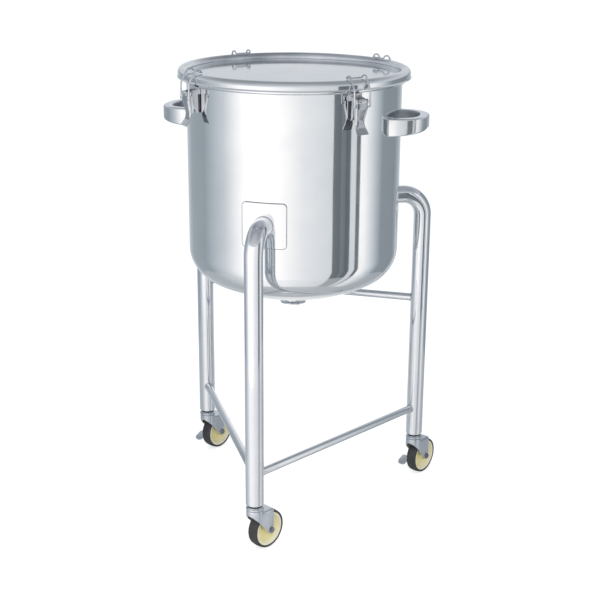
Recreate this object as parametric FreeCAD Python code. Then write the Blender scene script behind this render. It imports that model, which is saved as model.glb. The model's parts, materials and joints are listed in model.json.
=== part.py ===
import FreeCAD, Part
import math
import os

# Lidded stainless steel tank on a three-legged stand with swivel casters.
# All sizes are in millimetres. The front of the object, with one leg, faces -Y.
# Every piece is drawn about the tank's own vertical axis, with the floor at Z 0.
# At the end all pieces move together, so that the origin is on the floor in the middle
# of the whole footprint, casters included.

V = FreeCAD.Vector
UP = V(0, 0, 1)

# Where the tank's axis stands, seen from the middle of the footprint
tank_axis_x = -1.8
tank_axis_y = 31.8

# Tank shell, dished bottom and drain
tank_radius = 200.0
tank_wall = 1.5
mouth_bead_radius = 6.0
bottom_seam_z = 540.0
shell_height = 308.5
dish_skirt = 15.0
mouth_z = bottom_seam_z + shell_height
knuckle_z = bottom_seam_z - dish_skirt
knuckle_radius = 64.4
crown_radius = 363.3
drain_outer_radius = 19.05
drain_bore_radius = 17.5
drain_flange_radius = 25.25
drain_flange_thickness = 2.9
drain_flange_slope = 3.4
drain_length = 20.0

# Lid and its gasket
lid_sheet = 1.5
lid_rise = 17.7
lid_recess = 11.4
lid_lip_rise = 0.2
lid_seat_inset = 4.25
lid_overhang = 14.6
lid_lip_flare = 1.3
lid_top_z = mouth_z + lid_rise
lid_disc_z = lid_top_z - lid_recess - lid_sheet / 2
lid_inner_radius = tank_radius - lid_seat_inset
lid_skirt_radius = tank_radius + lid_overhang
lid_lip_radius = lid_skirt_radius + lid_lip_flare
lid_lip_z = mouth_z + lid_lip_rise
lid_corner_radius = 2.1
lid_rim_bend = 9.2
gasket_width = 8.0

# Legs, pads and braces
seat_gap = 0.1
leg_standoff = 63.2
leg_stub_rise = 71.0
leg_circle_radius = tank_radius + leg_standoff
leg_pipe_radius = 17.0
leg_pipe_wall = 2.0
leg_stub_z = bottom_seam_z + leg_stub_rise
leg_bend_radius = 43.0
leg_bottom_z = 97.5
leg_end_chamfer = 1.8
pad_size = 85.0
pad_thickness = 2.0
pad_corner_radius = 8.0
brace_radius = 7.5
low_brace_z = 156.0
high_brace_z = 394.5

# Handles
handle_drop = 73.0
handle_z = mouth_z - handle_drop
handle_height = 23.5
handle_thickness = 17.5
handle_corner = 3.5
handle_foot_drop = 10.0
handle_standoff = 53.0
handle_reach = tank_radius + handle_standoff
handle_width = 122.0
handle_bend = 43.0
handle_wall = 2.0

# Toggle clips
clip_angle_front_right = -43.5
clip_angle_rear_right = 50.0
clip_angle_rear_left = 136.0
clip_angle_front_left = 225.5
clip_base_width = 23.5
clip_base_height = 45.0
clip_base_rise = 11.0
clip_sheet = 1.5
clip_standoff = 22.0
clip_drop = 18.0
clip_pivot_reach = tank_radius + clip_standoff
clip_pivot_z = mouth_z - clip_drop
clip_pin_radius = 2.0
clip_ear_radius = 4.3
clip_ear_spacing = 19.5
clip_running_gap = 0.05
lever_width = 24.6
lever_sheet = 1.3
lever_length = 54.5
lever_waist = 3.3
lever_flange_depth = 9.5
lever_side_gap = 0.5
bail_wire_radius = 1.5
bail_half_width = 16.0
bail_pivot_drop = 9.0
bail_pivot_out = 3.0
bail_hook_inset = 2.4
bail_hook_rise = 1.6
bail_top_rise = 5.6
bail_hook_reach = tank_radius - bail_hook_inset
bail_hook_z = lid_top_z + bail_hook_rise
bail_top_z = lid_top_z + bail_top_rise

# Casters
wheel_radius = 37.5
wheel_width = 21.0
tyre_thickness = 5.0
tyre_crown = 1.2
hub_rim = 4.0
hub_web_width = 8.0
hub_boss_radius = 9.0
hub_boss_width = 23.0
axle_radius = 4.0
axle_hexagon = 10.0
bolt_head_height = 2.2
nut_height = 3.5
running_gap = 0.05
caster_trail = 28.8
front_caster_heading = 62.5
rear_caster_heading = 65.5
fork_sheet = 2.5
fork_half_width = 16.0
fork_top_z = 87.2
fork_plate_z = 80.5
fork_bend = 4.0
fork_front_z = 78.0
fork_rear = 34.5
fork_eye_radius = 7.6
race_radius = 16.8
race_bottom_z = 87.6
race_top_z = 93.0
neck_radius = 12.5
kingpin_radius = 5.0
plug_length = 40.0
pedal_pivot_x = 20.0
pedal_pivot_z = 47.0
pedal_pin_radius = 2.5
pedal_sheet = 2.0
pedal_gap = 0.4
pedal_drop = 17.5
pedal_width = 19.0
pedal_length = 26.0
pedal_slope = 24.0


def rotated(shape, degrees):
    turned = shape.copy()
    turned.rotate(V(0, 0, 0), UP, degrees)
    return turned


def moved(shape, x, y, z):
    shifted = shape.copy()
    shifted.translate(V(x, y, z))
    return shifted


def rounded_edges(points, radii):
    """Straight runs through the points, joined by arcs of the given radii."""
    edges = []
    start = points[0]
    for i in range(1, len(points) - 1):
        corner = points[i]
        along_in = (corner - points[i - 1]).normalize()
        along_out = (points[i + 1] - corner).normalize()
        half_turn = along_in.getAngle(along_out) / 2
        radius = radii[i - 1]
        if radius < 0.01 or half_turn < 0.001:
            edges.append(Part.LineSegment(start, corner).toShape())
            start = corner
            continue
        run = radius * math.tan(half_turn)
        first = corner - along_in * run
        last = corner + along_out * run
        inward = (along_out - along_in).normalize()
        middle = corner + inward * (radius / math.cos(half_turn) - radius)
        if (first - start).Length > 0.001:
            edges.append(Part.LineSegment(start, first).toShape())
        edges.append(Part.Arc(first, middle, last).toShape())
        start = last
    edges.append(Part.LineSegment(start, points[-1]).toShape())
    return edges


def offset_points(points, distance):
    """Corners of a line in the XZ plane, shifted sideways by the distance."""
    shifted = []
    for i in range(len(points)):
        before = points[max(i, 1)] - points[max(i, 1) - 1]
        after = points[min(i + 1, len(points) - 1)] - points[min(i, len(points) - 2)]
        before.normalize()
        after.normalize()
        side = V(-before.z - after.z, 0, before.x + after.x).normalize()
        stretch = side.dot(V(-before.z, 0, before.x))
        shifted.append(points[i] + side * (distance / stretch))
    return shifted


def sheet_face(points, radii, thickness):
    """Cross-section in the XZ plane of a sheet bent along the points."""
    inner_radii = []
    outer_radii = []
    for i in range(1, len(points) - 1):
        turn = (points[i] - points[i - 1]).cross(points[i + 1] - points[i]).y
        swing = -thickness / 2 if turn < 0 else thickness / 2
        inner_radii.append(max(radii[i - 1] + swing, 0.05))
        outer_radii.append(max(radii[i - 1] - swing, 0.05))
    left = offset_points(points, thickness / 2)
    right = offset_points(points, -thickness / 2)
    edges = rounded_edges(left, inner_radii) + rounded_edges(right, outer_radii)
    edges.append(Part.LineSegment(left[0], right[0]).toShape())
    edges.append(Part.LineSegment(left[-1], right[-1]).toShape())
    return Part.Face(Part.Wire(Part.__sortEdges__(edges)))


def revolved(face):
    return face.revolve(V(0, 0, 0), UP, 360)


def swept(edges, profile):
    return Part.Wire(edges).makePipeShell([profile], True, True)


def rod(x, y, z, radius, length, direction):
    return Part.makeCylinder(radius, length, V(x, y, z), direction)


def box(x0, x1, y0, y1, z0, z1):
    return Part.makeBox(x1 - x0, y1 - y0, z1 - z0, V(x0, y0, z0))


def rounded_outline(points, radii):
    """Closed wire through the points with every corner rounded."""
    loop = points + points[:2]
    edges = []
    start = None
    first = None
    for i in range(1, len(points) + 1):
        corner = loop[i]
        along_in = (corner - loop[i - 1]).normalize()
        along_out = (loop[i + 1] - corner).normalize()
        half_turn = along_in.getAngle(along_out) / 2
        radius = radii[i % len(points)]
        run = radius * math.tan(half_turn)
        begin = corner - along_in * run
        end = corner + along_out * run
        inward = (along_out - along_in).normalize()
        middle = corner + inward * (radius / math.cos(half_turn) - radius)
        if start is not None and (begin - start).Length > 0.001:
            edges.append(Part.LineSegment(start, begin).toShape())
        if radius > 0.01:
            edges.append(Part.Arc(begin, middle, end).toShape())
        first = first or begin
        start = end
    if (first - start).Length > 0.001:
        edges.append(Part.LineSegment(start, first).toShape())
    return Part.Wire(edges)


def tank_body():
    wall = sheet_face(
        [V(tank_radius - tank_wall / 2, 0, bottom_seam_z),
         V(tank_radius - tank_wall / 2, 0, mouth_z)], [], tank_wall)
    bead_x = tank_radius - tank_wall + mouth_bead_radius
    bead = Part.Face(Part.Wire(Part.makeCircle(mouth_bead_radius, V(bead_x, 0, mouth_z), V(0, 1, 0))))
    hollow = Part.makeCircle(mouth_bead_radius - tank_wall, V(bead_x, 0, mouth_z), V(0, 1, 0))
    bead = bead.cut(Part.Face(Part.Wire(hollow)))
    return revolved(wall).fuse(revolved(bead)).removeSplitter()


def dish_outline(inset):
    """Half outline of the dished bottom, seam to centre, moved in by the inset."""
    knuckle = knuckle_radius - inset
    crown = crown_radius - inset
    centre_x = tank_radius - knuckle_radius
    reach = crown_radius - knuckle_radius
    crown_z = knuckle_z + math.sqrt(reach ** 2 - centre_x ** 2)
    slope = math.atan2(knuckle_z - crown_z, centre_x)
    half = slope / 2
    top = V(tank_radius - inset, 0, bottom_seam_z)
    knuckle_top = V(tank_radius - inset, 0, knuckle_z)
    knuckle_mid = V(centre_x + knuckle * math.cos(half), 0, knuckle_z + knuckle * math.sin(half))
    knuckle_end = V(centre_x + knuckle * math.cos(slope), 0, knuckle_z + knuckle * math.sin(slope))
    low = (slope - math.pi / 2) / 2
    crown_mid = V(crown * math.cos(low), 0, crown_z + crown * math.sin(low))
    bottom = V(0, 0, crown_z - crown)
    return [Part.LineSegment(top, knuckle_top).toShape(),
            Part.Arc(knuckle_top, knuckle_mid, knuckle_end).toShape(),
            Part.Arc(knuckle_end, crown_mid, bottom).toShape()], top, bottom


def dish_bottom_z():
    return dish_outline(0)[2].z


def dished_bottom():
    outer, outer_top, outer_low = dish_outline(0)
    inner, inner_top, inner_low = dish_outline(tank_wall)
    edges = outer + inner
    edges.append(Part.LineSegment(outer_top, inner_top).toShape())
    edges.append(Part.LineSegment(outer_low, inner_low).toShape())
    dish = revolved(Part.Face(Part.Wire(Part.__sortEdges__(edges))))
    return dish.cut(rod(0, 0, outer_low.z - 5, drain_outer_radius, 20, UP))


def drain_ferrule():
    top = dish_bottom_z() + tank_wall + 0.8
    bottom = dish_bottom_z() - drain_length
    pipe = drain_outer_radius - seat_gap
    points = [V(drain_bore_radius, 0, top), V(pipe, 0, top),
              V(pipe, 0, bottom + drain_flange_thickness + drain_flange_slope / 2),
              V(drain_flange_radius - 1, 0, bottom + drain_flange_thickness),
              V(drain_flange_radius, 0, bottom + drain_flange_thickness - 1),
              V(drain_flange_radius, 0, bottom), V(drain_bore_radius, 0, bottom),
              V(drain_bore_radius, 0, top)]
    return revolved(Part.Face(Part.makePolygon(points)))


def lid():
    points = [V(0, 0, lid_disc_z), V(lid_inner_radius, 0, lid_disc_z),
              V(lid_inner_radius, 0, lid_top_z - lid_sheet / 2),
              V(lid_skirt_radius, 0, lid_top_z - lid_sheet / 2),
              V(lid_skirt_radius, 0, lid_lip_z + 2.5),
              V(lid_lip_radius, 0, lid_lip_z)]
    radii = [lid_corner_radius, lid_rim_bend, lid_rim_bend, 1.5]
    return revolved(sheet_face(points, radii, lid_sheet))


def lid_gasket():
    middle = (lid_inner_radius + lid_skirt_radius) / 2
    low = mouth_z + mouth_bead_radius + seat_gap
    half = gasket_width / 2
    inside = lid_rim_bend - lid_sheet / 2 - seat_gap
    crown_z = lid_top_z - lid_sheet / 2 - lid_rim_bend
    high = crown_z + math.sqrt(inside ** 2 - half ** 2)
    edges = [Part.LineSegment(V(middle - half, 0, low), V(middle + half, 0, low)).toShape(),
             Part.LineSegment(V(middle + half, 0, low), V(middle + half, 0, high)).toShape(),
             Part.Arc(V(middle + half, 0, high), V(middle, 0, crown_z + inside),
                      V(middle - half, 0, high)).toShape(),
             Part.LineSegment(V(middle - half, 0, high), V(middle - half, 0, low)).toShape()]
    return revolved(Part.Face(Part.Wire(edges)))


def leg():
    """Bent pipe leg in the XZ plane, its foot under +X."""
    path = rounded_edges(
        [V(tank_radius - 2, 0, leg_stub_z), V(leg_circle_radius, 0, leg_stub_z),
         V(leg_circle_radius, 0, leg_bottom_z)], [leg_bend_radius])
    outer = swept(path, Part.Wire(Part.makeCircle(leg_pipe_radius, V(tank_radius - 2, 0, leg_stub_z), V(1, 0, 0))))
    bore_radius = leg_pipe_radius - leg_pipe_wall
    bore = swept(path, Part.Wire(Part.makeCircle(bore_radius, V(tank_radius - 2, 0, leg_stub_z), V(1, 0, 0))))
    pad_face = tank_radius + pad_thickness + 2 * seat_gap
    tank_space = rod(0, 0, leg_stub_z - pad_size, pad_face, 2 * pad_size, UP)
    pipe = outer.cut(bore).cut(tank_space)
    foot = V(leg_circle_radius, 0, leg_bottom_z)
    keep = Part.makeCone(leg_pipe_radius - leg_end_chamfer, leg_pipe_radius + 0.01,
                         2 * leg_end_chamfer, foot, UP)
    blank = rod(foot.x, 0, foot.z, leg_pipe_radius + 2, 2 * leg_end_chamfer, UP)
    return pipe.cut(blank.cut(keep))


def leg_pad():
    """Square plate with rounded corners that follows the tank wall, facing +X."""
    ring = rod(0, 0, leg_stub_z - pad_size, tank_radius + seat_gap + pad_thickness, 2 * pad_size, UP)
    ring = ring.cut(rod(0, 0, leg_stub_z - pad_size, tank_radius + seat_gap, 2 * pad_size, UP))
    half = pad_size / 2
    inside = tank_radius - pad_size / 2
    corners = [V(inside, -half, leg_stub_z - half), V(inside, half, leg_stub_z - half),
               V(inside, half, leg_stub_z + half), V(inside, -half, leg_stub_z + half)]
    outline = rounded_outline(corners, [pad_corner_radius] * 4)
    return ring.common(Part.Face(outline).extrude(V(pad_size, 0, 0)))


def leg_angle(k):
    return -90 + 120 * k


def leg_axis(k):
    a = math.radians(leg_angle(k))
    return V(leg_circle_radius * math.cos(a), leg_circle_radius * math.sin(a), 0)


def brace(k, j, z):
    """Round bar between two legs, shaped to the pipes at its ends."""
    start = leg_axis(k) + UP * z
    end = leg_axis(j) + UP * z
    bar = Part.makeCylinder(brace_radius, (end - start).Length, start, end - start)
    for post in (start, end):
        bar = bar.cut(rod(post.x, post.y, z - 30, leg_pipe_radius + seat_gap, 60, UP))
    return bar


def handle_profile(inset, drop):
    """Cross-section of the grip at its foot, its underside lowered by drop."""
    outer = handle_width / 2
    inner = outer - handle_thickness
    top = handle_z + handle_height / 2 - inset
    low = handle_z - handle_height / 2 - drop + inset
    x = tank_radius - handle_thickness
    corners = [V(x, -inner - inset, low), V(x, -outer + inset, low),
               V(x, -outer + inset, top), V(x, -inner - inset, top)]
    return rounded_outline(corners, [handle_corner - inset] * 4)


def half_grip(inset):
    """From one foot to the middle of the grip, deep at the foot and slimmer further out."""
    middle = handle_width / 2 - handle_thickness / 2
    foot = V(tank_radius - handle_thickness, -middle, handle_z)
    far = handle_reach - handle_thickness / 2
    path = rounded_edges([foot, V(far, -middle, handle_z), V(far, 0, handle_z)], [handle_bend])
    end = handle_profile(inset, 0)
    end.rotate(foot, UP, 90)
    end.translate(V(far - foot.x, middle, 0))
    shell = Part.BRepOffsetAPI.MakePipeShell(Part.Wire(path))
    shell.setFrenetMode(True)
    shell.add(handle_profile(inset, handle_foot_drop))
    shell.add(end)
    shell.build()
    shell.makeSolid()
    return shell.shape()


def handle():
    """Hollow D-shaped grip on the +X side."""
    near = half_grip(0).cut(half_grip(handle_wall))
    grip = near.fuse(near.mirror(V(0, 0, 0), V(0, 1, 0))).removeSplitter()
    deep = 2 * handle_height
    return grip.cut(rod(0, 0, handle_z - deep, tank_radius + seat_gap, 2 * deep, UP))


def lever_line():
    """Side profile of the clip lever's face, from its barrel down to its lip."""
    x = clip_pivot_reach + clip_ear_radius - lever_sheet / 2
    z = clip_pivot_z
    return [V(x, 0, z), V(x, 0, z - 0.20 * lever_length),
            V(x - 6.0, 0, z - 0.60 * lever_length),
            V(x - 5.6, 0, z - 0.80 * lever_length),
            V(x + 2.5, 0, z - lever_length)]


def bail_pivot():
    return V(clip_pivot_reach + bail_pivot_out, 0, clip_pivot_z - bail_pivot_drop)


def clip_base():
    """Channel bracket on the tank wall with two ears and the pivot pin."""
    half = clip_base_width / 2
    high = clip_pivot_z + clip_base_rise
    low = high - clip_base_height
    back = tank_radius + seat_gap + 0.5
    plate = box(back - 2, back + clip_sheet, -half, half, low, high)
    shape = plate
    ear_in = clip_ear_spacing / 2 - clip_sheet
    for side in (-1, 1):
        y = ear_in if side > 0 else -ear_in - clip_sheet
        corners = [V(back, y, low), V(back + 6, y, low), V(clip_pivot_reach, y, clip_pivot_z - clip_ear_radius),
                   V(clip_pivot_reach, y, clip_pivot_z + clip_ear_radius), V(back, y, clip_pivot_z + 8), V(back, y, low)]
        ear = Part.Face(Part.makePolygon(corners)).extrude(V(0, clip_sheet, 0))
        eye = rod(clip_pivot_reach, y, clip_pivot_z, clip_ear_radius, clip_sheet, V(0, 1, 0))
        shape = shape.fuse(ear).fuse(eye)
    pin_half = lever_width / 2
    pin = rod(clip_pivot_reach, -pin_half, clip_pivot_z, clip_pin_radius, 2 * pin_half, V(0, 1, 0))
    shape = shape.fuse(pin).removeSplitter()
    return shape.cut(rod(0, 0, low - 5, tank_radius + seat_gap, clip_base_height + 20, UP))


def clip_lever():
    """Sheet lever with a rolled top edge, waisted sides, two flanges and a flared lip."""
    half = lever_width / 2
    line = lever_line()
    face = sheet_face(line, [16, 14, 9], lever_sheet)
    blade = moved(face, 0, -half, 0).extrude(V(0, lever_width, 0))
    z = clip_pivot_z
    narrow = z - 0.62 * lever_length
    low = z - lever_length - 3
    waist = [V(0, -half, z + 10), V(0, half, z + 10), V(0, half, z - 12), V(0, half - lever_waist, narrow),
             V(0, half, low), V(0, -half, low), V(0, -half + lever_waist, narrow), V(0, -half, z - 12)]
    outline = rounded_outline([p + V(clip_pivot_reach - 15, 0, 0) for p in waist], [0.5, 0.5, 12, 13, 1, 1, 13, 12])
    blade = blade.common(Part.Face(outline).extrude(V(40, 0, 0)))
    barrel = rod(clip_pivot_reach, -half, z, clip_ear_radius, lever_width, V(0, 1, 0))
    shape = blade.fuse(barrel)
    x = clip_pivot_reach + clip_ear_radius - lever_sheet
    sides = [V(x - 7.5, 0, z + 1), V(x + lever_sheet, 0, z + 1), V(x + lever_sheet, 0, z - 12),
             V(x - 4.5, 0, z - 33), V(x - 10, 0, z - 33), V(x - lever_flange_depth - 2, 0, z - 22)]
    flange = Part.Face(rounded_outline(sides, [3, 0.5, 8, 1, 3, 8]))
    for y in (-half, half - lever_sheet):
        shape = shape.fuse(moved(flange, 0, y, 0).extrude(V(0, lever_sheet, 0)))
    slot_in = clip_ear_spacing / 2 - clip_sheet - lever_side_gap
    slot_out = clip_ear_spacing / 2 + lever_side_gap
    eye = clip_ear_radius + 0.6
    for y0, y1 in ((slot_in, slot_out), (-slot_out, -slot_in)):
        shape = shape.cut(rod(clip_pivot_reach, y0, z, eye + 1.4, y1 - y0, V(0, 1, 0)))
    shape = shape.cut(rod(clip_pivot_reach, -half - 1, z, clip_pin_radius + clip_running_gap,
                          lever_width + 2, V(0, 1, 0)))
    hole = bail_pivot()
    return shape.cut(rod(hole.x, -half - 1, hole.z, bail_wire_radius + clip_running_gap,
                         lever_width + 2, V(0, 1, 0)))


def clip_bail():
    """Wire loop from the lever's sides, over the lid's rim, to the bar behind it."""
    foot = bail_pivot()
    w = bail_half_width
    end = lever_width / 2 - lever_sheet
    side = [V(foot.x, -end, foot.z), V(foot.x, -w, foot.z),
            V(clip_pivot_reach + 1.5, -w, lid_lip_z + 2),
            V(bail_hook_reach + 11.9, -w, bail_top_z + 1.2),
            V(bail_hook_reach + 3.9, -w, bail_top_z + 0.4),
            V(bail_hook_reach, -w, bail_hook_z)]
    other = [V(p.x, -p.y, p.z) for p in reversed(side)]
    bends = [2.2, 20, 6, 3.5, 2.2]
    path = rounded_edges(side + other, bends + bends[::-1])
    start = Part.Wire(Part.makeCircle(bail_wire_radius, side[0], V(0, -1, 0)))
    return swept(path, start)


def tyre():
    """Tyre about the Y axis through the wheel's centre."""
    half = wheel_width / 2
    inside = wheel_radius - tyre_thickness
    edges = [Part.LineSegment(V(inside, 0, -half), V(wheel_radius - tyre_crown, 0, -half)).toShape(),
             Part.Arc(V(wheel_radius - tyre_crown, 0, -half), V(wheel_radius, 0, 0),
                      V(wheel_radius - tyre_crown, 0, half)).toShape(),
             Part.LineSegment(V(wheel_radius - tyre_crown, 0, half), V(inside, 0, half)).toShape(),
             Part.LineSegment(V(inside, 0, half), V(inside, 0, -half)).toShape()]
    ring = revolved(Part.Face(Part.Wire(edges)))
    ring.rotate(V(0, 0, 0), V(1, 0, 0), 90)
    return moved(ring, caster_trail, 0, wheel_radius)


def hub():
    """Moulded wheel centre: outer ring, thin web and bored boss."""
    half = wheel_width / 2
    outside = wheel_radius - tyre_thickness - seat_gap / 2
    ring_in = outside - hub_rim
    web = hub_web_width / 2
    boss = hub_boss_width / 2
    bore = axle_radius + running_gap
    points = [V(bore, 0, -boss), V(hub_boss_radius, 0, -boss), V(hub_boss_radius + 2, 0, -web),
              V(ring_in - 2, 0, -web), V(ring_in, 0, -half + 0.5), V(outside, 0, -half + 0.5),
              V(outside, 0, half - 0.5), V(ring_in, 0, half - 0.5), V(ring_in - 2, 0, web),
              V(hub_boss_radius + 2, 0, web), V(hub_boss_radius, 0, boss), V(bore, 0, boss),
              V(bore, 0, -boss)]
    centre = revolved(Part.Face(Part.makePolygon(points)))
    centre.rotate(V(0, 0, 0), V(1, 0, 0), 90)
    return moved(centre, caster_trail, 0, wheel_radius)


def hexagon(across, height, y):
    side = across / math.sqrt(3)
    corners = []
    for i in range(7):
        a = math.radians(60 * i)
        corners.append(V(caster_trail + side * math.cos(a), y, wheel_radius + side * math.sin(a)))
    return Part.Face(Part.makePolygon(corners)).extrude(V(0, height, 0))


def axle():
    """Axle bolt with a hexagon head on the near side and a nut on the far side."""
    half = fork_half_width + seat_gap
    bolt = rod(caster_trail, -half - 1, wheel_radius, axle_radius, 2 * half + 2, V(0, 1, 0))
    head = hexagon(axle_hexagon, bolt_head_height, -half - bolt_head_height)
    return bolt.fuse(head).fuse(hexagon(axle_hexagon, nut_height, half)).removeSplitter()


def fork_block(inset, low, spare):
    """Solid outline of the fork: raised round head and the lower channel behind it."""
    half = fork_half_width - inset
    bend = fork_bend - inset
    head = rod(0, 0, low, half, fork_top_z - inset - low, UP)
    rim = [e for e in head.Edges if abs(e.BoundBox.ZMin - (fork_top_z - inset)) < 0.01]
    head = head.makeFillet(bend, rim)
    channel = box(0, fork_rear + spare, -half, half, low, fork_plate_z - inset)
    ridges = [e for e in channel.Edges
              if abs(e.BoundBox.ZMin - (fork_plate_z - inset)) < 0.01 and e.BoundBox.XLength > 1]
    return head.fuse(channel.makeFillet(bend, ridges))


def fork(with_pedal):
    """Pressed fork: round-nosed head whose skirt deepens into two side plates."""
    rear = fork_rear
    low = wheel_radius - fork_eye_radius - 1
    hollow_top = fork_top_z - fork_sheet
    shell = fork_block(0, low, 0).cut(fork_block(fork_sheet, low - 1, 1))
    lean = math.atan2(fork_front_z - wheel_radius, caster_trail + fork_half_width)
    touch = V(caster_trail - fork_eye_radius * math.sin(lean), 0, wheel_radius - fork_eye_radius * math.cos(lean))
    front = V(-fork_half_width - 1, 0, fork_front_z)
    corners = [front, V(front.x, 0, fork_top_z + 1), V(rear, 0, fork_top_z + 1),
               V(rear, 0, wheel_radius), V(caster_trail, 0, wheel_radius), touch, front]
    side = Part.Face(Part.makePolygon(corners)).extrude(V(0, 60, 0))
    side = side.fuse(rod(caster_trail, 0, wheel_radius, fork_eye_radius, 60, V(0, 1, 0)))
    shell = shell.common(moved(side, 0, -30, 0))
    shell = shell.cut(rod(0, 0, hollow_top - 2, kingpin_radius + running_gap, 10, UP))
    shell = shell.cut(rod(caster_trail, -30, wheel_radius, axle_radius + running_gap, 60, V(0, 1, 0)))
    if with_pedal:
        pin = rod(pedal_pivot_x, 0, pedal_pivot_z, pedal_pin_radius + running_gap, 30, V(0, 1, 0))
        shell = shell.cut(pin)
    return shell


def caster_stem():
    """Fixed half of the caster: plug in the pipe, neck, upper race and kingpin."""
    bore = leg_pipe_radius - leg_pipe_wall - seat_gap
    plate_low = fork_top_z - fork_sheet
    points = [V(0, 0, plate_low - 3), V(kingpin_radius + 3, 0, plate_low - 3),
              V(kingpin_radius + 3, 0, plate_low - 0.4), V(kingpin_radius, 0, plate_low - 0.4),
              V(kingpin_radius, 0, race_bottom_z), V(race_radius, 0, race_bottom_z),
              V(race_radius, 0, race_bottom_z + 2.6), V(neck_radius + 1, 0, race_top_z),
              V(neck_radius, 0, leg_bottom_z - seat_gap), V(leg_pipe_radius - 3, 0, leg_bottom_z - seat_gap),
              V(bore, 0, leg_bottom_z + 1), V(bore, 0, leg_bottom_z + plug_length),
              V(0, 0, leg_bottom_z + plug_length), V(0, 0, plate_low - 3)]
    return revolved(Part.Face(Part.makePolygon(points)))


def brake_pedal():
    """Stop lever on the fork's far side: eye and arm, then a tongue bent out and down."""
    y = fork_half_width + pedal_gap
    eye = rod(pedal_pivot_x, y, pedal_pivot_z, 6, pedal_sheet, V(0, 1, 0))
    low = pedal_pivot_z - pedal_drop
    fall = math.tan(math.radians(pedal_slope))
    corners = [V(pedal_pivot_x - 5, y, pedal_pivot_z + 3.5), V(pedal_pivot_x, y, pedal_pivot_z - 6),
               V(pedal_pivot_x - 8, y, low - 4 * fall), V(pedal_pivot_x - 21, y, low - 17 * fall),
               V(pedal_pivot_x - 20, y, low - 11 * fall + 3), V(pedal_pivot_x - 5, y, pedal_pivot_z + 3.5)]
    arm = Part.Face(Part.makePolygon(corners)).extrude(V(0, pedal_sheet, 0))
    pin = rod(pedal_pivot_x, fork_half_width - fork_sheet, pedal_pivot_z, pedal_pin_radius,
              fork_sheet + pedal_gap + 1, V(0, 1, 0))
    # The foot pad is bent out from the arm's sloping lower edge.
    plate = Part.Face(rounded_outline(
        [V(-pedal_length, 0, 0), V(0, 0, 0), V(0, pedal_width, 0), V(-pedal_length, pedal_width, 0)],
        [pedal_width / 3, 0.5, 5, pedal_width / 2])).extrude(V(0, 0, pedal_sheet))
    plate.rotate(V(0, 0, 0), V(0, 1, 0), -pedal_slope)
    plate = moved(plate, pedal_pivot_x - 4, y, low)
    return eye.fuse(arm).fuse(pin).fuse(plate).removeSplitter()


def clip_angles():
    return {"front_right": clip_angle_front_right, "rear_right": clip_angle_rear_right,
            "rear_left": clip_angle_rear_left, "front_left": clip_angle_front_left}


def all_nodes():
    nodes = {"tank_body": tank_body(), "dished_bottom": dished_bottom(), "drain_ferrule": drain_ferrule(),
             "lid": lid(), "lid_gasket": lid_gasket()}
    leg_names = ("front", "rear_right", "rear_left")
    one_leg, one_pad, one_stem = leg(), leg_pad(), caster_stem()
    one_tyre, one_hub, one_axle = tyre(), hub(), axle()
    plain_fork, brake_fork, pedal = fork(False), fork(True), brake_pedal()
    for k, name in enumerate(leg_names):
        nodes["leg_" + name] = rotated(one_leg, leg_angle(k))
        nodes["leg_pad_" + name] = rotated(one_pad, leg_angle(k))
        foot = leg_axis(k)
        heading = front_caster_heading if k == 0 else rear_caster_heading
        nodes["caster_stem_" + name] = moved(one_stem, foot.x, foot.y, 0)
        pieces = {"caster_fork_": plain_fork if k == 0 else brake_fork, "caster_tyre_": one_tyre,
                  "caster_hub_": one_hub, "caster_axle_": one_axle}
        if k > 0:
            pieces["brake_pedal_"] = pedal
        for stem, shape in pieces.items():
            nodes[stem + name] = moved(rotated(shape, heading), foot.x, foot.y, 0)
    nodes["low_brace_right"] = brace(0, 1, low_brace_z)
    nodes["low_brace_left"] = brace(0, 2, low_brace_z)
    nodes["high_brace_rear"] = brace(1, 2, high_brace_z)
    one_handle = handle()
    nodes["handle_right"] = one_handle
    nodes["handle_left"] = rotated(one_handle, 180)
    one_base, one_lever, one_bail = clip_base(), clip_lever(), clip_bail()
    for name, angle in clip_angles().items():
        nodes["clip_base_" + name] = rotated(one_base, angle)
        nodes["clip_lever_" + name] = rotated(one_lever, angle)
        nodes["clip_bail_" + name] = rotated(one_bail, angle)
    return {name: moved(shape, tank_axis_x, tank_axis_y, 0) for name, shape in nodes.items()}


os.makedirs("parts", exist_ok=True)
for node_name, node_shape in all_nodes().items():
    node_shape.exportStep("parts/" + node_name + ".step")
    print(node_name, node_shape.isValid(), len(node_shape.Solids), round(node_shape.Volume / 1000, 2))
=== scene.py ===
import json
import math

import bmesh
import bpy
from mathutils import Matrix, Vector

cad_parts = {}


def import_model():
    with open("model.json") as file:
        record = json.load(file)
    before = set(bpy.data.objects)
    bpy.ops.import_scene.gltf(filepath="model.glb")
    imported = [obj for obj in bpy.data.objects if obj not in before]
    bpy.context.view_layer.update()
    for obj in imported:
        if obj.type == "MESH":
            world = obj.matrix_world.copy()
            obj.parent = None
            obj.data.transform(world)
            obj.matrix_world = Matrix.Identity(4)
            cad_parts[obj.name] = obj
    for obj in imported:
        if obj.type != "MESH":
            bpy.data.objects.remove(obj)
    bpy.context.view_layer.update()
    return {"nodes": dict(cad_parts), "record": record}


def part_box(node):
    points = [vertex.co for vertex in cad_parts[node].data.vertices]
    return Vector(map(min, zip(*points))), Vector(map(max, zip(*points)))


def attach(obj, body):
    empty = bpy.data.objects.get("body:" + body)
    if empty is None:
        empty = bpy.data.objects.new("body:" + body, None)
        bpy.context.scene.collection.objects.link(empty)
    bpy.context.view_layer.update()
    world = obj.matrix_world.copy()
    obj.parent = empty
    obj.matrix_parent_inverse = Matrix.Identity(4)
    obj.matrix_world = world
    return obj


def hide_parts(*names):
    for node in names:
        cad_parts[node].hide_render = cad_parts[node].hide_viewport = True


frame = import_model()

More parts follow.
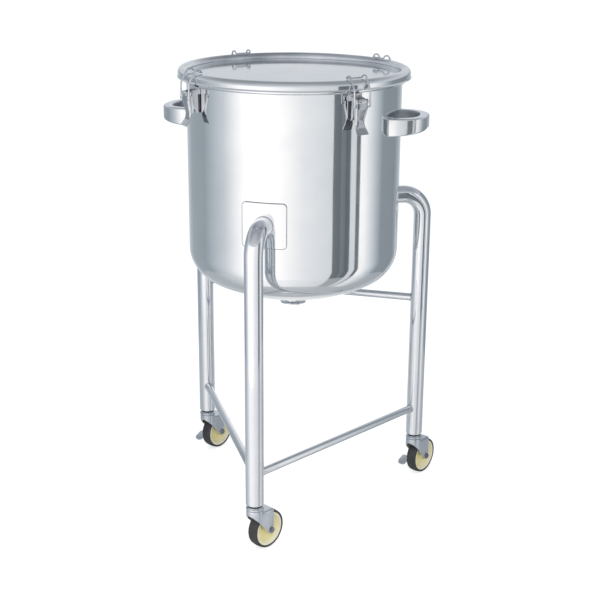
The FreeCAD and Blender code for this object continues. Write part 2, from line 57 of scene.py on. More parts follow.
# Lengths are millimetres about the tank's vertical axis, with the floor at Z 0; the camera and the studio
# are in metres.
MM = 0.001
ferrule_low, ferrule_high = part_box("drain_ferrule")
AXIS = Vector(((ferrule_low.x + ferrule_high.x) / 2, (ferrule_low.y + ferrule_high.y) / 2, 0))
BODY = {n: b for b, members in frame["record"]["behaviour"]["bodies"].items() for n in members}

# Tank and dished bottom; ROUND is the number of steps round the tank
TANK_R, WALL, ROUND = 200.0, 1.5, 320
SEAM_Z, MOUTH_Z, BEAD_R, BEAD_END = 540.0, 848.5, 6.0, -138.6
KNUCKLE_Z, KNUCKLE_R, CROWN_R, DRAIN_HOLE_R = 525.0, 64.4, 363.3, 19.05
# Drain ferrule; the last three are heights above its sealing face
BORE_R, NECK_R, SLOPE_R, FLANGE_R, NECK_TOP = 17.5, 18.95, 24.2, 25.25, 430.0
NECK_FOOT, SLOPE_FOOT, FLANGE_T = 4.8, 2.9, 1.9
# Lid
LID_TOP, LID_DISC, LID_SHEET = 866.2, 854.05, 1.5
LID_IN, LID_OUT, LID_LIP, LID_LIP_Z, LID_LIP_H = 195.75, 214.6, 215.9, 848.7, 2.5
LID_CORNER, LID_BEND, LID_FLARE = 2.1, 9.2, 1.5
# Where the painted shade inside the lid's rim begins: radius and rise over the disc
RIM_INSIDE_R, RIM_INSIDE_RISE = 204.5, 1.6
# Legs, pads and braces
LEG_X, PIPE_R, STUB_Z, LEG_BEND, LEG_LOW = 263.2, 17.0, 611.0, 43.0, 97.5
PAD, PAD_T, PAD_CORNER, PAD_GAP = 82.0, 2.0, 7.0, 0.1
BRACE_R, LOW_BRACE_Z, HIGH_BRACE_Z, BRACE_SINK = 7.5, 156.0, 394.5, 2.5
SEAM_LINE_R, SEAM_LINE_RISE = 0.65, 1.7
LEG_WELD_R, BRACE_WELD_R, GRIP_WELD_R = 0.9, 1.0, 1.2
# Handles
GRIP_Z, GRIP_H, GRIP_T, GRIP_CORNER = 775.5, 23.5, 17.5, 3.5
GRIP_X, GRIP_W, GRIP_BEND, GRIP_DROP, GRIP_SINK = 253.0, 122.0, 43.0, 10.0, 8.0
# Clips: angles round the tank, pivot, lever, bracket and wire loop
CLIPS = {"front_right": -43.5, "rear_right": 50.0, "rear_left": 136.0, "front_left": 225.5}
CLIP_X, CLIP_Z = 222.0, 830.5
LEVER_W, LEVER_L, LEVER_T, LEVER_WAIST, LEVER_BEND = 24.6, 56.5, 1.3, 3.3, 2.2
FLANGE_DEEP, FLANGE_SHALLOW, FLANGE_START, FLANGE_RUN = 10.0, 0.4, 26.0, 20.0
BARREL_R, PIN_R = 4.3, 2.0
BARREL_PARTS = ((-LEVER_W / 2, -10.4), (-7.6, 7.6), (10.4, LEVER_W / 2))
PLATE_W, PLATE_L, PLATE_RISE, PLATE_BACK, PLATE_FRONT = 23.5, 45.0, 11.0, 0.4, 2.1
EAR_T, EAR_SIDES, EAR_FOOT = 1.5, (-9.75, 8.25), 6.6
BAIL_W, BAIL_R = 16.0, 1.5
BAIL_X, BAIL_Z = CLIP_X + 3.0, CLIP_Z - 9.0
HOOK_X, HOOK_Z, HOOK_TOP = TANK_R - 2.4, LID_TOP + 1.6, LID_TOP + 5.6
# Casters
WHEEL_R, TRAIL = 37.5, 28.8
HEADINGS = {"front": 62.5, "rear_right": 65.5, "rear_left": 65.5}
FORK_W, FORK_TOP, FORK_PLATE, FORK_FRONT, FORK_REAR = 16.0, 87.2, 80.5, 78.0, 34.5
FORK_T, FORK_BEND, FORK_SINK, SIDE_START, EYE_R = 2.5, 4.0, 3.0, -3.0, 7.6
RACE_R, RACE_TOP, PLUG_R, PLUG_TOP, STEM_R, STEM_TOP = 16.8, 90.0, 12.5, 94.0, 4.9, 130.0
# The second value is the lowest height of the painted shade in the gap under the leg
SOCKET_R, GAP_SHADE_LOW = 14.8, 93.3
TYRE_T, TYRE_HALF, HUB_HALF, HUB_END, AXLE_HOLE_R = 5.0, 10.5, 10.0, 11.5, 4.1
BOLT_R, BOLT_HEX = 4.0, 10.0
PEDAL_X, PEDAL_Z, PEDAL_LOW, PEDAL_T, PEDAL_SLOPE = 20.0, 47.0, 29.5, 2.0, 24.0
LEGS = {"front": -90.0, "rear_right": 30.0, "rear_left": 150.0}


def place(angle=0.0, x=0.0, y=0.0, z=0.0, turn=0.0):
    """Matrix from millimetres on the tank's axis to the scene: turned by angle, moved, turned on the spot."""
    m = Matrix.Translation(AXIS) @ Matrix.Scale(MM, 4) @ Matrix.Rotation(math.radians(angle), 4, "Z")
    return m @ Matrix.Translation((x, y, z)) @ Matrix.Rotation(math.radians(turn), 4, "Z")


def arc(cx, cy, r, a0, a1, n):
    """Points on an arc from a0 to a1 degrees, both ends included."""
    angles = [math.radians(a0 + (a1 - a0) * i / n) for i in range(n + 1)]
    return [(cx + r * math.cos(a), cy + r * math.sin(a)) for a in angles]


def circle(r, n=24):
    """Points round a circle."""
    return [(r * math.cos(2 * math.pi * k / n), r * math.sin(2 * math.pi * k / n)) for k in range(n)]


def rounded(points, radii, n=8, closed=False):
    """2D line through the points with its corners rounded."""
    pts = [Vector(p) for p in points]
    out = []
    count = len(pts)
    for i in range(count):
        inner = closed or 0 < i < count - 1
        r = radii[i] if inner else 0
        if r <= 0:
            out.append(tuple(pts[i]))
            continue
        a = (pts[i] - pts[i - 1]).normalized()
        b = (pts[(i + 1) % count] - pts[i]).normalized()
        half = math.acos(max(-1, min(1, a.dot(b)))) / 2
        if half < 0.002:
            out.append(tuple(pts[i]))
            continue
        run = r * math.tan(half)
        centre = pts[i] + (b - a).normalized() * (r / math.cos(half))
        start = pts[i] - a * run - centre
        turn = 2 * half * (1 if a.x * b.y - a.y * b.x > 0 else -1)
        for k in range(n + 1):
            out.append(tuple(centre + Matrix.Rotation(turn * k / n, 2) @ start))
    return out


def shifted(points, d, closed=False):
    """2D line moved sideways to its left by d."""
    pts = [Vector(p) for p in points]
    n = len(pts)
    out = []
    for i in range(n):
        before = pts[i] - pts[i - 1] if closed or i else pts[1] - pts[0]
        after = pts[(i + 1) % n] - pts[i] if closed or i < n - 1 else pts[i] - pts[i - 1]
        if before.length < 1e-9:
            before = after
        if after.length < 1e-9:
            after = before
        before.normalize()
        after.normalize()
        side = Vector((-before.y - after.y, before.x + after.x))
        side = side.normalized() if side.length > 1e-6 else Vector((-before.y, before.x))
        out.append(tuple(pts[i] + side * (d / max(0.4, side.dot(Vector((-before.y, before.x)))))))
    return out


class Form:
    """Collects vertices and faces of one piece, in millimetres."""

    def __init__(self):
        self.verts, self.faces = [], []

    def add(self, verts, faces, m=None):
        """Points and faces, moved by a matrix where one is given."""
        base = len(self.verts)
        self.verts += [m @ Vector(v) if m else Vector(v) for v in verts]
        self.faces += [[base + i for i in f] for f in faces]

    def grid(self, rows, closed_rows=False, closed_cols=False, m=None):
        """Quads between rows of points."""
        nr, nc = len(rows), len(rows[0])
        faces = []
        for i in range(nr if closed_rows else nr - 1):
            for j in range(nc if closed_cols else nc - 1):
                a, b = i * nc + j, i * nc + (j + 1) % nc
                c, d = ((i + 1) % nr) * nc + (j + 1) % nc, ((i + 1) % nr) * nc + j
                faces.append([a, b, c, d])
        self.add([p for r in rows for p in r], faces, m)

    def lathe(self, profile, n=192, closed=True, m=None):
        """Profile of (radius, height) turned about Z. Points on the axis become a cap."""
        rows = [[(x, y, z) for x, y in circle(r, n)] for r, z in profile]
        self.grid(rows, closed_rows=closed, closed_cols=True, m=m)

    def sweep(self, path, section, up, closed=False, caps=True, scale=None):
        """2D section, or one for each point, carried along a 3D path; its second axis follows up."""
        pts = [Vector(p) for p in path]
        n = len(pts)
        rows = []
        for i, p in enumerate(pts):
            a = pts[i - 1] if closed or i else p
            b = pts[(i + 1) % n] if closed or i < n - 1 else p
            along = (b - a).normalized()
            u = Vector(up(p) if callable(up) else up)
            side = along.cross(u).normalized()
            top = side.cross(along).normalized()
            sx, sy = scale(i) if scale else (1, 1)
            shape = section(i) if callable(section) else section
            rows.append([p + side * (q[0] * sx) + top * (q[1] * sy) for q in shape])
        self.grid(rows, closed_rows=closed, closed_cols=True)
        if caps and not closed:
            self.add(rows[0], [list(range(len(rows[0])))])
            self.add(rows[-1], [list(range(len(rows[0])))[::-1]])

    def plate(self, outline, z0, z1, bevel=0.3, m=None):
        """Flat plate of a 2D outline between two heights, with softened edges."""
        area = sum(a[0] * b[1] - b[0] * a[1] for a, b in zip(outline, outline[1:] + outline[:1]))
        if area < 0:
            outline = outline[::-1]
        rings = [(bevel - side, z0 + bevel - fall) for fall, side in arc(0, 0, bevel, 0, 90, 3)]
        rings += [(d, z0 + z1 - z) for d, z in rings[::-1]]
        rows = [[(p[0], p[1], z) for p in shifted(outline, d, True)] for d, z in rings]
        self.grid(rows, closed_cols=True, m=m)
        flat = list(range(len(outline)))
        self.add(rows[0], [flat[::-1]], m)
        self.add(rows[-1], [flat], m)


def piece(form, name, node, material, at, sharp=34, stands=True):
    """Turns a form into an object that stands for a node, or only rides with it."""
    mesh = bpy.data.meshes.new(name)
    mesh.from_pydata([tuple(at @ v) for v in form.verts], [], form.faces)
    mesh.validate()
    work = bmesh.new()
    work.from_mesh(mesh)
    bmesh.ops.remove_doubles(work, verts=work.verts, dist=2e-6)
    bmesh.ops.recalc_face_normals(work, faces=work.faces)
    work.to_mesh(mesh)
    work.free()
    mesh.polygons.foreach_set("use_smooth", [True] * len(mesh.polygons))
    mesh.set_sharp_from_angle(angle=math.radians(sharp))
    mesh.materials.append(material)
    obj = bpy.data.objects.new(name, mesh)
    bpy.context.scene.collection.objects.link(obj)
    if stands:
        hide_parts(node)
    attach(obj, BODY[node])
    return obj


def dress_faces(obj, material, chosen):
    """Gives one more material to the faces that the test chooses."""
    obj.data.materials.append(material)
    slot = len(obj.data.materials) - 1
    for face in obj.data.polygons:
        if chosen(face):
            face.material_index = slot


# Materials

def nodes_of(name):
    """New material with its node tree, its shader and the object's own coordinates."""
    mat = bpy.data.materials.new(name)
    mat.use_nodes = True
    tree = mat.node_tree
    shader = next(n for n in tree.nodes if n.type == "BSDF_PRINCIPLED")
    coords = tree.nodes.new("ShaderNodeTexCoord")
    return mat, tree, shader, coords.outputs["Object"]


def noise(tree, where, scale, detail=3.0, stretch=None):
    """Noise value, stretched along the axes where asked."""
    if stretch:
        mapping = tree.nodes.new("ShaderNodeMapping")
        mapping.inputs["Scale"].default_value = stretch
        tree.links.new(where, mapping.inputs["Vector"])
        where = mapping.outputs["Vector"]
    tex = tree.nodes.new("ShaderNodeTexNoise")
    tex.inputs["Scale"].default_value = scale
    tex.inputs["Detail"].default_value = detail
    tree.links.new(where, tex.inputs["Vector"])
    return tex.outputs["Fac"]


def spread(tree, value, low, high, start=0.3, end=0.7):
    """Maps a noise value onto a range."""
    node = tree.nodes.new("ShaderNodeMapRange")
    node.inputs["From Min"].default_value = start
    node.inputs["From Max"].default_value = end
    node.inputs["To Min"].default_value = low
    node.inputs["To Max"].default_value = high
    tree.links.new(value, node.inputs["Value"])
    return node.outputs["Result"]


def tint(tree, value, low, high, start=0.3, end=0.7):
    """Colour between two tones by a value."""
    ramp = tree.nodes.new("ShaderNodeValToRGB")
    ramp.color_ramp.elements[0].position = start
    ramp.color_ramp.elements[1].position = end
    ramp.color_ramp.elements[0].color = (*low, 1)
    ramp.color_ramp.elements[1].color = (*high, 1)
    tree.links.new(value, ramp.inputs["Fac"])
    return ramp.outputs["Color"]


def bump(tree, shader, value, distance, strength=1.0, under=None):
    """Fine relief from a value, over the relief under it where there is one."""
    node = tree.nodes.new("ShaderNodeBump")
    node.inputs["Strength"].default_value = strength
    node.inputs["Distance"].default_value = distance
    tree.links.new(value, node.inputs["Height"])
    if under:
        tree.links.new(under, node.inputs["Normal"])
    tree.links.new(node.outputs["Normal"], shader.inputs["Normal"])
    return node.outputs["Normal"]


GRAIN_DEPTH = 0.00002


def steel(name, dark, light, rough, grain, wave=0.0, cloud=14.0, relief=0.12):
    """Metal with cloudy tone, hairline polish grain, smudges and, on thin sheet, a slight waviness."""
    mat, tree, shader, where = nodes_of(name)
    shader.inputs["Metallic"].default_value = 1.0
    clouds = noise(tree, where, cloud, 4)
    tree.links.new(tint(tree, clouds, dark, light), shader.inputs["Base Color"])
    smudge = noise(tree, where, cloud * 2.3, 6)
    tree.links.new(spread(tree, smudge, rough[0], rough[1]), shader.inputs["Roughness"])
    normal = bump(tree, shader, noise(tree, where, 60, 2, grain), GRAIN_DEPTH, relief)
    if wave:
        bump(tree, shader, noise(tree, where, 5.0, 1), wave, 1.0, normal)
    return mat


def plastic(name, dark, light, rough, scale, depth):
    """Moulded or rubber surface with mottled tone, fine grain and dirt in the low spots."""
    mat, tree, shader, where = nodes_of(name)
    tree.links.new(tint(tree, noise(tree, where, scale, 5), dark, light), shader.inputs["Base Color"])
    dirt = noise(tree, where, scale * 3, 3)
    tree.links.new(spread(tree, dirt, rough[0], rough[1]), shader.inputs["Roughness"])
    bump(tree, shader, noise(tree, where, scale * 18, 3), depth, 0.5)
    return mat


FINE, SOFT, EVEN = (9, 9, 9), (4, 4, 4), (24, 24, 24)
WIRE_GRAIN = (20, 20, 3)
mirror = steel("mirror_steel", (0.74, 0.76, 0.79), (0.80, 0.82, 0.84), (0.05, 0.09), (1, 1, 25), 0.0008)
lid_steel = steel("lid_steel", (0.68, 0.70, 0.73), (0.73, 0.75, 0.77), (0.06, 0.11), (6, 6, 6), 0.0005)
# Darker steel inside the lid's rim: painted shade
rim_painted_shade_steel = steel("rim_painted_shade_steel", (0.44, 0.46, 0.49), (0.78, 0.80, 0.83), (0.10, 0.16), (6, 6, 6), 0.0003, 11.0)
pipe_steel = steel("pipe_steel", (0.72, 0.74, 0.78), (0.79, 0.81, 0.84), (0.05, 0.09), (25, 25, 1),
                   relief=0.03)
satin = steel("satin_steel", (0.64, 0.66, 0.70), (0.72, 0.74, 0.77), (0.10, 0.16), EVEN)
clip_steel = steel("clip_steel", (0.47, 0.49, 0.52), (0.61, 0.63, 0.66), (0.10, 0.18), WIRE_GRAIN, cloud=60.0)
# Darker steel for the lever's inside: painted shade
lever_inside_shade = steel("lever_inside_painted_shade_steel", (0.14, 0.145, 0.155), (0.23, 0.235, 0.25), (0.25, 0.40), FINE,
                  cloud=80.0)
# Bracket plate: very dark steel as painted shade below the pivot, pale rough steel as painted light above it
clip_shade = steel("clip_shaded_steel", (0.05, 0.05, 0.055), (0.11, 0.11, 0.12), (0.25, 0.40), FINE,
                   cloud=80.0)
bracket_painted_light = steel("bracket_plate_painted_light_steel", (0.80, 0.82, 0.85), (0.88, 0.90, 0.92), (0.50, 0.60), SOFT,
                   0.0, 30.0, 0.02)
wire_steel = steel("wire_steel", (0.54, 0.56, 0.59), (0.68, 0.70, 0.73), (0.06, 0.12), WIRE_GRAIN, cloud=60.0)
grip_steel = steel("grip_steel", (0.68, 0.70, 0.73), (0.76, 0.78, 0.81), (0.13, 0.20), (4, 4, 16), cloud=30.0)
# Darker steel for the handle's inner faces: painted shade
grip_inside_shade = steel("grip_painted_shade_steel", (0.46, 0.48, 0.51), (0.54, 0.56, 0.59), (0.48, 0.56), SOFT,
                  0.0, 30.0, 0.02)
# Dark steel for the line of weld round the pads, darkened as painted shade of their edges
seam_steel_and_shade = steel("seam_steel_and_shade", (0.34, 0.35, 0.37), (0.44, 0.45, 0.47), (0.30, 0.45), FINE, cloud=90.0)
weld_steel = steel("weld_steel", (0.42, 0.42, 0.44), (0.60, 0.61, 0.63), (0.22, 0.38), FINE, 0.0, 120.0, 0.35)
zinc = steel("zinc_steel", (0.54, 0.57, 0.62), (0.62, 0.65, 0.70), (0.24, 0.34), EVEN, cloud=40.0)
bolt_steel = steel("bolt_steel", (0.17, 0.18, 0.20), (0.28, 0.29, 0.32), (0.16, 0.24), EVEN, cloud=60.0)
rubber = plastic("tyre_rubber", (0.030, 0.031, 0.035), (0.052, 0.053, 0.058), (0.50, 0.66), 60.0, 0.0002)
nylon = plastic("hub_nylon", (0.78, 0.74, 0.54), (0.86, 0.82, 0.64), (0.36, 0.50), 35.0, 0.0001)
# Yellower, darker nylon for the recessed web: its own tone with painted shade
web_nylon_and_shade = plastic("web_nylon_and_shade", (0.70, 0.62, 0.28), (0.80, 0.73, 0.42), (0.36, 0.50), 60.0, 0.0001)
# Near-black for the gap under the leg: painted shade
gap_shade = plastic("race_gap_painted_shade", (0.015, 0.015, 0.017), (0.035, 0.035, 0.038), (0.30, 0.45), 60.0, 0.0001)
seal = plastic("gasket_rubber", (0.66, 0.66, 0.64), (0.78, 0.78, 0.76), (0.45, 0.60), 50.0, 0.0001)


# Tank, bottom, drain and lid

def tank_shell():
    """Cylinder with a rolled bead at its mouth."""
    inside = TANK_R - WALL
    profile = [(inside, SEAM_Z), (inside, 700), (inside, MOUTH_Z - 3)]
    profile += arc(inside + BEAD_R, MOUTH_Z, BEAD_R, 180, BEAD_END, 36)
    profile += [(TANK_R, 800), (TANK_R, 700), (TANK_R, 620), (TANK_R, SEAM_Z)]
    form = Form()
    form.lathe(profile, ROUND)
    piece(form, "tank_shell", "tank_body", mirror, place())


def dish(inset):
    """Line of the bottom from the seam to the drain's hole, moved inwards by the inset."""
    cx = TANK_R - KNUCKLE_R
    cz = KNUCKLE_Z + math.sqrt((CROWN_R - KNUCKLE_R) ** 2 - cx ** 2)
    slope = math.degrees(math.atan2(KNUCKLE_Z - cz, cx))
    line = [(TANK_R - inset, SEAM_Z)] + arc(cx, KNUCKLE_Z, KNUCKLE_R - inset, 0, slope, 30)
    stop = -90 + math.degrees(math.asin(DRAIN_HOLE_R / (CROWN_R - inset)))
    return line + arc(0, cz, CROWN_R - inset, slope, stop, 40)[1:]


def tank_bottom():
    """Dished bottom of one sheet."""
    form = Form()
    form.lathe(dish(0) + dish(WALL)[::-1], ROUND)
    piece(form, "tank_bottom", "dished_bottom", mirror, place())


def drain_neck():
    """Clamp ferrule: a neck and a flange with a sloped back."""
    face = ferrule_low.z / MM
    outline = [(BORE_R, NECK_TOP), (NECK_R, NECK_TOP), (NECK_R, face + NECK_FOOT),
               (SLOPE_R, face + SLOPE_FOOT), (FLANGE_R, face + FLANGE_T), (FLANGE_R, face), (BORE_R, face)]
    form = Form()
    form.lathe(rounded(outline, [0.3, 0.3, 1.5, 0.5, 0.6, 0.6, 0.8], 4, True), 96)
    piece(form, "drain_neck", "drain_ferrule", lid_steel, place())


def lid_shell():
    """Recessed disc and rounded hollow rim of one sheet, with painted shade inside the rim in a darker steel.
    """
    half = LID_SHEET / 2
    top = LID_TOP - half
    corners = [(0, LID_DISC), (LID_IN, LID_DISC), (LID_IN, top), (LID_OUT, top),
               (LID_OUT, LID_LIP_Z + LID_LIP_H), (LID_LIP, LID_LIP_Z)]
    line = rounded(corners, [0, LID_CORNER, LID_BEND, LID_BEND, LID_FLARE, 0], 14)
    line = [(r, LID_DISC) for r in (0.0, 40.0, 90.0, 140.0)] + line[1:]
    form = Form()
    form.lathe(shifted(line, half) + shifted(line, -half)[::-1], ROUND)
    shell = piece(form, "lid_shell", "lid", lid_steel, place())

    def inside_rim(face):
        """Whether a face lies on the inner side of the rim."""
        reach = (Vector((face.center.x, face.center.y, 0)) - AXIS).length / MM
        return reach < RIM_INSIDE_R and face.center.z > (LID_DISC + RIM_INSIDE_RISE) * MM

    # Painted shade: the inner side of the rim gets the darker steel
    dress_faces(shell, rim_painted_shade_steel, inside_rim)


tank_shell()
tank_bottom()
drain_neck()
lid_shell()
for gasket_slot in frame["nodes"]["lid_gasket"].material_slots:
    gasket_slot.material = seal


# Legs, pads and braces

def bent(points, bend, n=20):
    """3D path in the XZ plane from 2D points, with its inner corners bent."""
    return [(x, 0, z) for x, z in rounded(points, [0] + [bend] * (len(points) - 2) + [0], n)]


def weld_round(form, points, r, centre):
    """Rough bead of weld along a closed line."""
    c = Vector(centre)
    form.sweep(points, circle(r, 10), lambda p: (Vector(p) - c), closed=True, caps=False,
               scale=lambda i: (1 + 0.12 * math.sin(i * 2.1), 1 + 0.12 * math.cos(i * 1.7)))


def dense_line(points, step):
    """2D line with points added where two lie more than a step apart; its last point is left off."""
    dense = []
    for a, b in zip(points, points[1:]):
        steps = max(1, int(math.dist(a, b) / step))
        dense += [(a[0] + (b[0] - a[0]) * k / steps, a[1] + (b[1] - a[1]) * k / steps) for k in range(steps)]
    return dense


def pad_outline():
    """Closed outline of the pad, unrolled, with points close enough to follow the shell."""
    half = PAD / 2
    outline = rounded([(-half, -half), (half, -half), (half, half), (-half, half)], [PAD_CORNER] * 4, 8, True)
    return dense_line(outline + outline[:1], 5)


def on_shell(point, lift, reference):
    """3D point at a lift over the shell, from one unrolled at the reference lift."""
    a = math.asin(point[0] / (TANK_R + reference))
    return (TANK_R + lift) * math.cos(a), (TANK_R + lift) * math.sin(a), STUB_Z + point[1]


def pad_plate(name, angle):
    """Square plate with rounded corners, curved with the shell."""
    dense = pad_outline()
    lift = PAD_GAP + PAD_T
    rows = []
    for share in (0.02, 0.25, 0.5, 0.75, 0.9, 0.97):
        rows.append([on_shell((y * share, z * share), lift, lift) for y, z in dense])
    for inset, drop in ((0.7, 0.0), (0.35, 0.1), (0.1, 0.35), (0.0, 0.7), (0.0, PAD_T)):
        rows.append([on_shell(p, lift - drop, lift) for p in shifted(dense, inset, True)])
    form = Form()
    form.grid(rows, closed_cols=True)
    form.add(rows[0], [list(range(len(dense)))])
    piece(form, "pad_plate_" + name, "leg_pad_" + name, mirror, place(angle), 50)


def pad_seam(name, angle):
    """Fine dark line of weld round the pad, its darkness partly painted shade of the pad's edge."""
    form = Form()
    outline = [on_shell(p, SEAM_LINE_RISE, PAD_T) for p in pad_outline()]
    form.sweep(outline, circle(SEAM_LINE_R, 8), (1, 0, 0), closed=True, caps=False)
    piece(form, "seam_pad_" + name, "leg_pad_" + name, seam_steel_and_shade, place(angle), 60, stands=False)


def leg_pipe(name, angle):
    """Pipe from the pad over its bend to a slightly closed foot."""
    path = bent([(TANK_R + 1.5, STUB_Z), (LEG_X, STUB_Z), (LEG_X, LEG_LOW + 1.8)], LEG_BEND, 32)
    foot = ((1.0, 0.985), (0.3, 0.95), (0.0, 0.915), (0.0, 0.6))
    shares = [1.0] * len(path) + [share for rise, share in foot]
    path += [(LEG_X, 0, LEG_LOW + rise) for rise, share in foot]
    form = Form()
    form.sweep(path, circle(PIPE_R, 64), (0, 1, 0), scale=lambda i: (shares[i], shares[i]))
    piece(form, "leg_pipe_" + name, "leg_" + name, pipe_steel, place(angle), 40)


def leg_weld(name, angle):
    """Weld between the pipe and its pad."""
    far = TANK_R + PAD_T + PAD_GAP
    ring = []
    for y, z in circle(PIPE_R + 0.3, 72):
        ring.append((math.sqrt(far ** 2 - y ** 2) + 0.4, y, STUB_Z + z))
    form = Form()
    weld_round(form, ring, LEG_WELD_R, (far, 0, STUB_Z))
    piece(form, "weld_leg_" + name, "leg_" + name, weld_steel, place(angle), 60, stands=False)


def leg_axis(name):
    """Point on the floor under the middle of a leg."""
    a = math.radians(LEGS[name])
    return Vector((LEG_X * math.cos(a), LEG_X * math.sin(a), 0))


def brace(node, a, b, z):
    """Level bar between two legs, with the welds at its ends."""
    start, stop = leg_axis(a) + Vector((0, 0, z)), leg_axis(b) + Vector((0, 0, z))
    along = (stop - start).normalized()
    side = along.cross(Vector((0, 0, 1)))
    inset = PIPE_R - BRACE_SINK
    free = (stop - start).length - 2 * inset
    bar = Form()
    bar.sweep([start + along * (inset + free * k / 6) for k in range(7)], circle(BRACE_R, 40), (0, 0, 1))
    piece(bar, "bar_" + node, node, satin, place(), 40)
    weld = Form()
    for post, way in ((start, along), (stop, -along)):
        ring = []
        for w, h in circle(BRACE_R + 0.2, 36):
            ring.append(post + way * (math.sqrt(PIPE_R ** 2 - w ** 2) + 0.3) + side * w + Vector((0, 0, h)))
        weld_round(weld, ring, BRACE_WELD_R, post + way * PIPE_R)
    piece(weld, "weld_" + node, node, weld_steel, place(), 60, stands=False)


for name, angle in LEGS.items():
    leg_pipe(name, angle)
    pad_plate(name, angle)
    pad_seam(name, angle)
    leg_weld(name, angle)
brace("low_brace_right", "front", "rear_right", LOW_BRACE_Z)
brace("low_brace_left", "front", "rear_left", LOW_BRACE_Z)
brace("high_brace_rear", "rear_right", "rear_left", HIGH_BRACE_Z)


# Handles

def grip_path():
    """Middle line of the handle in plan, from foot to foot."""
    foot, far, y = TANK_R - GRIP_SINK, GRIP_X - GRIP_T / 2, (GRIP_W - GRIP_T) / 2
    line = rounded([(foot, -y), (far, -y), (far, y), (foot, y)], [0, GRIP_BEND, GRIP_BEND, 0], 24)
    steps = (2, 5, 8, 11)
    flat = [line[0]] + [(foot + d, -y) for d in steps] + [p for p in line[1:-1] if p[0] > TANK_R + 4]
    flat += [(foot + d, y) for d in steps[::-1]] + [line[-1]]
    return [(x, y, GRIP_Z) for x, y in flat]


def grip_sections(path):
    """Section at each point of the path, its underside lowest at the feet."""
    w, h = GRIP_T / 2, GRIP_H / 2
    section = rounded([(-w, -h), (w, -h), (w, h), (-w, h)], [GRIP_CORNER] * 4, 8, True)
    runs = [0.0]
    for a, b in zip(path, path[1:]):
        runs.append(runs[-1] + math.dist(a, b))
    drops = [GRIP_DROP * (abs(run / (runs[-1] / 2) - 1)) for run in runs]
    return [[(x, z - (d if z < 0 else 0)) for x, z in section] for d in drops]


def handle(node, angle):
    """D-shaped carrying handle with the welds round its feet, and painted shade on the faces that look
    towards its middle.
    """
    path = grip_path()
    shapes = grip_sections(path)
    grip = Form()
    grip.sweep(path, shapes.__getitem__, (0, 0, 1))
    bow = piece(grip, node + "_grip", node, grip_steel, place(angle), 40)
    middle = place(angle) @ Vector((TANK_R + 14, 0, 0))

    def faces_middle(face):
        """Whether a face of the bow looks towards the middle of the handle."""
        inward = Vector((middle.x - face.center.x, middle.y - face.center.y, 0)).normalized()
        return face.normal.dot(inward) > 0.6

    # Painted shade on the faces towards the middle of the handle
    dress_faces(bow, grip_inside_shade, faces_middle)
    weld = Form()
    for side in (-1, 1):
        foot_y = side * (GRIP_W - GRIP_T) / 2
        ring = []
        for px, pz in shapes[4]:
            y = foot_y + px * 1.02
            ring.append((math.sqrt(TANK_R ** 2 - y ** 2) + 0.5, y, GRIP_Z + pz * 1.02))
        weld_round(weld, ring, GRIP_WELD_R, (TANK_R, foot_y, GRIP_Z))
    piece(weld, "weld_" + node, node, weld_steel, place(angle), 60, stands=False)


handle("handle_right", 0.0)
handle("handle_left", 180.0)


# Toggle clips

def ramp(value, start, run):
    """Share from 0 to 1 of the way from the start over the run."""
    return min(max((value - start) / run, 0), 1)


def lever_width(z):
    """Half width of the lever at a height below its pivot: narrow at the waist, full again at the lip."""
    straight, waist = 10, 0.62 * LEVER_L
    narrow = math.cos(math.pi * ramp(-z, straight, waist - straight))
    wide = math.cos(math.pi * ramp(-z, waist, 0.38 * LEVER_L))
    ease = (wide - narrow) / 2
    return LEVER_W / 2 - LEVER_WAIST * ease


def lever_depth(z):
    """Depth of the flanges, which run out below the middle of the lever."""
    share = 0.5 + 0.5 * math.cos(math.pi * ramp(-z, FLANGE_START, FLANGE_RUN))
    return FLANGE_SHALLOW + (FLANGE_DEEP - FLANGE_SHALLOW) * share


def lever_row(spot, out, back, depth, half, bend, lift):
    """One side-to-side row of points of the lever: flange, bend and flat face, then the same mirrored."""
    x, z = spot
    row = []
    for k in range(3):
        row.append(Vector((x, -half, z)) + out * lift + back * (depth - (depth - bend) * k / 2))
    round_r = bend + lift
    for k in range(1, 6):
        a = math.pi / 2 * k / 6
        turned = Vector((x, -half + round_r - round_r * math.cos(a), z))
        row.append(turned + out * lift + back * (round_r - round_r * math.sin(a)))
    for k in range(5):
        row.append(Vector((x, (-half + round_r) * (1 - k / 2), z)) + out * lift)
    return row + [Vector((p.x, -p.y, p.z)) for p in row[:8]][::-1]


def rim_of(rows):
    """Closed line round the edge of a grid."""
    last = len(rows[0]) - 1
    line = list(rows[0]) + [row[-1] for row in rows[1:]]
    line += [rows[-1][j] for j in range(last - 1, -1, -1)]
    return line + [rows[i][0] for i in range(len(rows) - 2, 0, -1)]


def lever_shape():
    """Pressed lever: waisted face with two bent-back flanges and a flared lip, and its ranges of faces."""
    line = rounded([(2.1, -2.9), (2.9, -0.20 * LEVER_L), (-2.35, -0.60 * LEVER_L), (-1.95, -0.80 * LEVER_L),
                    (6.15, -LEVER_L)], [0, 16, 14, 8, 0], 10)
    dense = dense_line(line, 2) + [line[-1]]
    half_t = LEVER_T / 2
    outer, inner = [], []
    for i, (x, z) in enumerate(dense):
        a, b = dense[max(i - 1, 0)], dense[min(i + 1, len(dense) - 1)]
        out = Vector((a[1] - b[1], 0, b[0] - a[0])) / math.dist(a, b)
        back = -out.lerp(Vector((1, 0, 0)), 0.7).normalized()
        width, depth = lever_width(z), lever_depth(z)
        bend = min(LEVER_BEND, depth * 0.9 + 0.3)
        outer.append(lever_row((x, z), out, back, depth, width, bend, half_t))
        inner.append(lever_row((x, z), out, back, depth, width - LEVER_T, bend, -half_t))
    form = Form()
    form.grid(outer)
    inside_start = len(form.faces)
    form.grid([r[::-1] for r in inner])
    inside_end = len(form.faces)
    form.grid([rim_of(outer), rim_of(inner)], closed_cols=True)
    return form, inside_start, inside_end


